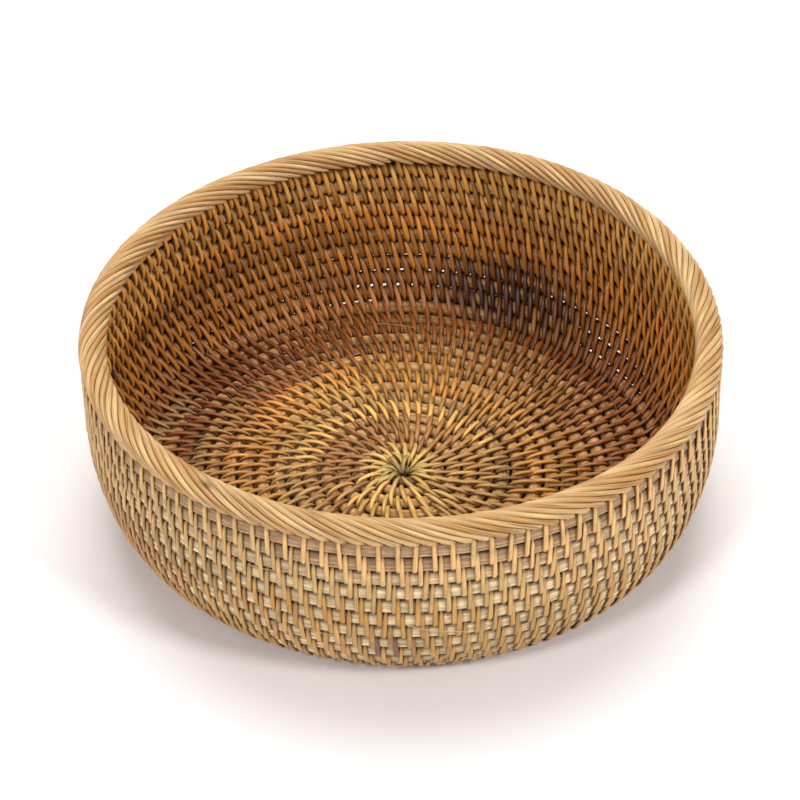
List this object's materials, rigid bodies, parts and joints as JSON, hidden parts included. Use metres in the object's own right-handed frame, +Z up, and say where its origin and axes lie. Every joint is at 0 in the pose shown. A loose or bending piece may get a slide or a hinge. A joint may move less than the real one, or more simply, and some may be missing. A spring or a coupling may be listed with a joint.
{
  "type": "coiled cane basket",
  "caption": "Round, deep coiled basket of split cane with a flat base, an upright wall and a thick rim wound with slanting strips.",
  "frame": {"origin": "on the floor, under the middle of the base", "axes": "+Z up through the middle of the base; the coil climbs anticlockwise seen from above, and +Y points to where the rim's strips begin and end"},
  "size_m": [0.3, 0.3, 0.0984],
  "materials": {
    "coil_cane": "matt",
    "binding_cane": "satin",
    "rim_cane": "satin"
  },
  "bodies": {
    "root": {"base_start_knot": "binding_cane", "base_coil_01": "coil_cane", "base_coil_02": "coil_cane", "base_coil_03": "coil_cane", "base_coil_04": "coil_cane", "base_coil_05": "coil_cane", "base_coil_06": "coil_cane", "base_coil_07": "coil_cane", "base_coil_08": "coil_cane", "base_coil_09": "coil_cane", "base_coil_10": "coil_cane", "base_coil_11": "coil_cane", "base_coil_12": "coil_cane", "base_coil_13": "coil_cane", "wall_coil_01": "coil_cane", "wall_coil_02": "coil_cane", "wall_coil_03": "coil_cane", "wall_coil_04": "coil_cane", "wall_coil_05": "coil_cane", "wall_coil_06": "coil_cane", "wall_coil_07": "coil_cane", "wall_coil_08": "coil_cane", "wall_coil_09": "coil_cane", "wall_coil_10": "coil_cane", "wall_coil_feathered_end": "coil_cane", "rim_core": "coil_cane", "rim_strip_01": "rim_cane", "rim_strip_02": "rim_cane", "rim_strip_03": "rim_cane", "rim_strip_04": "rim_cane", "rim_strip_05": "rim_cane", "rim_strip_06": "rim_cane", "rim_strip_07": "rim_cane", "rim_strip_08": "rim_cane"}
  },
  "joints": []
}
